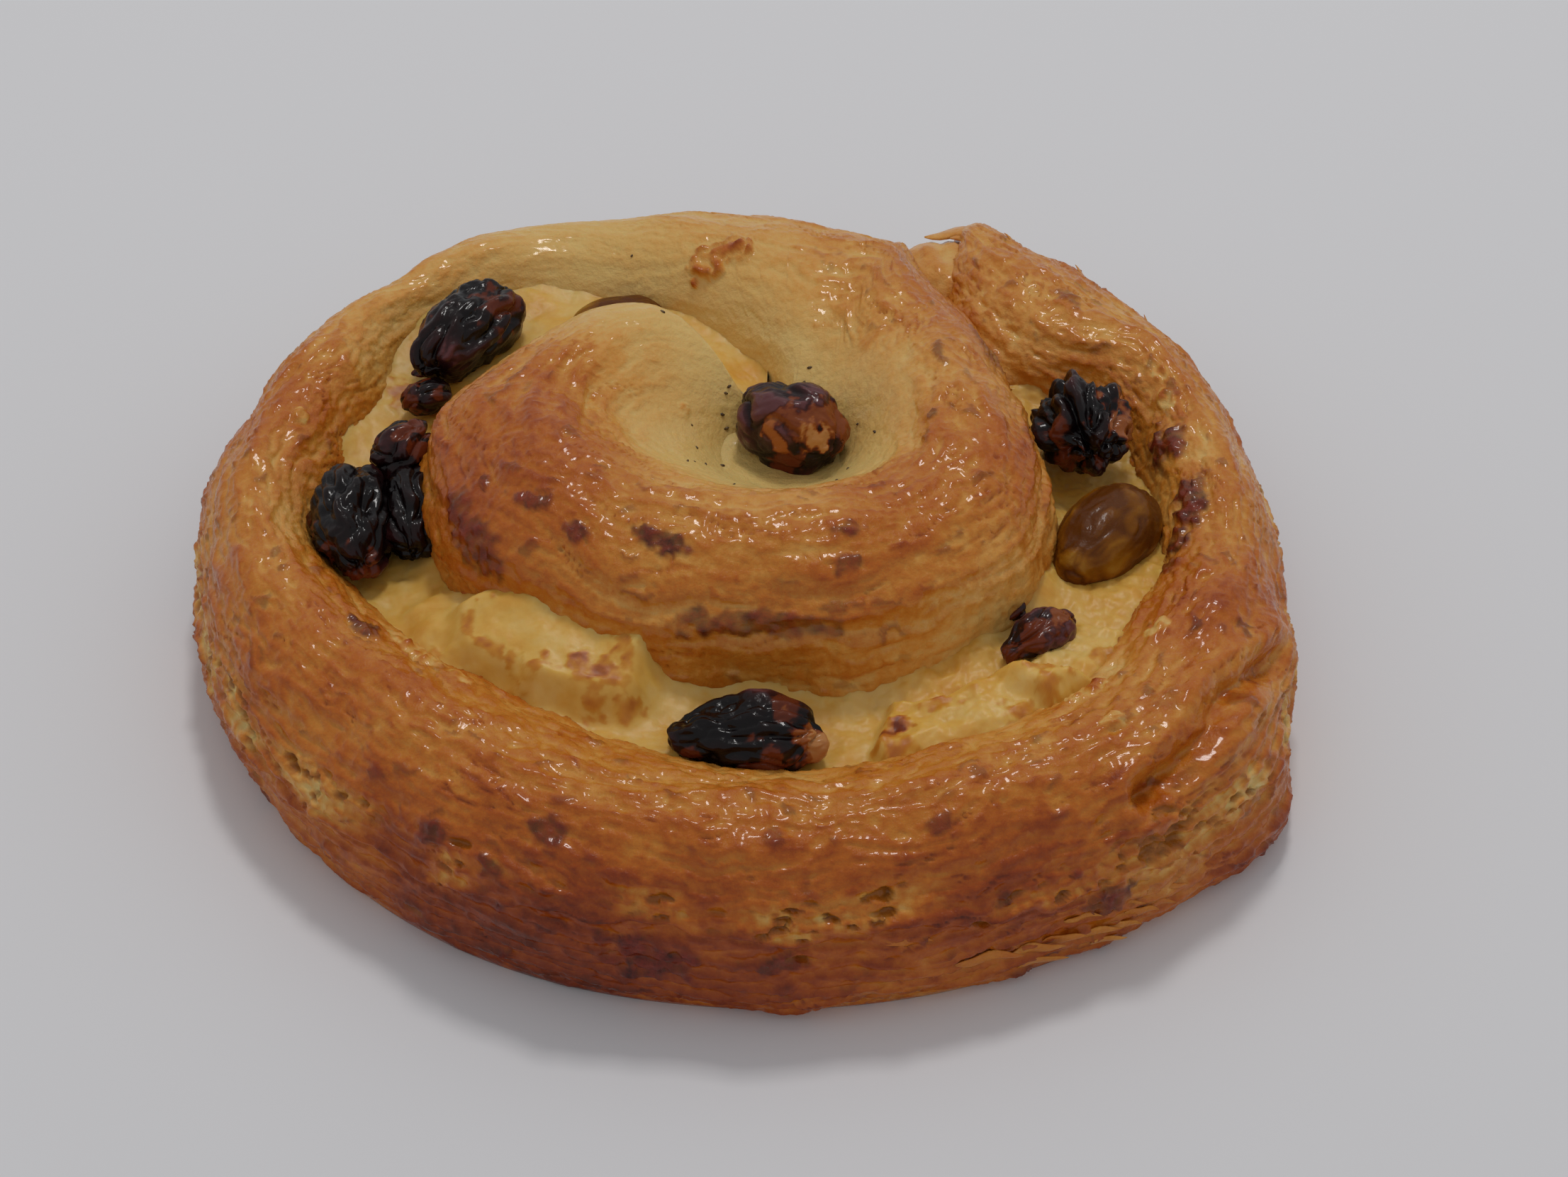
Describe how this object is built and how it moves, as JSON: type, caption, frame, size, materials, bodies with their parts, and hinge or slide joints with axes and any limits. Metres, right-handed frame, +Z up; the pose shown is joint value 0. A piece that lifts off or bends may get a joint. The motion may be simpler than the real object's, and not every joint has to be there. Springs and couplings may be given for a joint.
{
  "type": "raisin danish pastry",
  "caption": "Coiled danish pastry: a baked spiral of laminated dough with a custard-filled seam and raisins and sultanas sunk in it, lying flat.",
  "frame": {"origin": "middle of the pastry's outline on the surface that it rests on", "axes": "+Z up; +X to the right along the longest width; the notch where the strip ends faces back and right (+X +Y)"},
  "size_m": [0.11, 0.106, 0.0275],
  "materials": {
    "baked_dough": "egg-washed laminated dough, baked golden brown and glossy; stands in as a glossy dielectric",
    "baked_custard": "set pastry custard, pale yellow with browned tips, satin",
    "dark_raisin": "wrinkled dark raisin skin with a sticky gloss",
    "golden_sultana": "plump olive-amber sultana skin, glossy and slightly translucent"
  },
  "bodies": {
    "root": {"dough_coil": "baked_dough", "custard_filling": "baked_custard", "raisin_middle": "dark_raisin", "raisin_back_left": "dark_raisin", "raisin_back_left_small": "dark_raisin", "raisin_left_outer": "dark_raisin", "raisin_left_inner": "dark_raisin", "raisin_left_small": "dark_raisin", "raisin_right": "dark_raisin", "sultana_right": "golden_sultana", "raisin_front_right": "dark_raisin", "raisin_front": "dark_raisin", "sultana_back": "golden_sultana"}
  },
  "joints": []
}
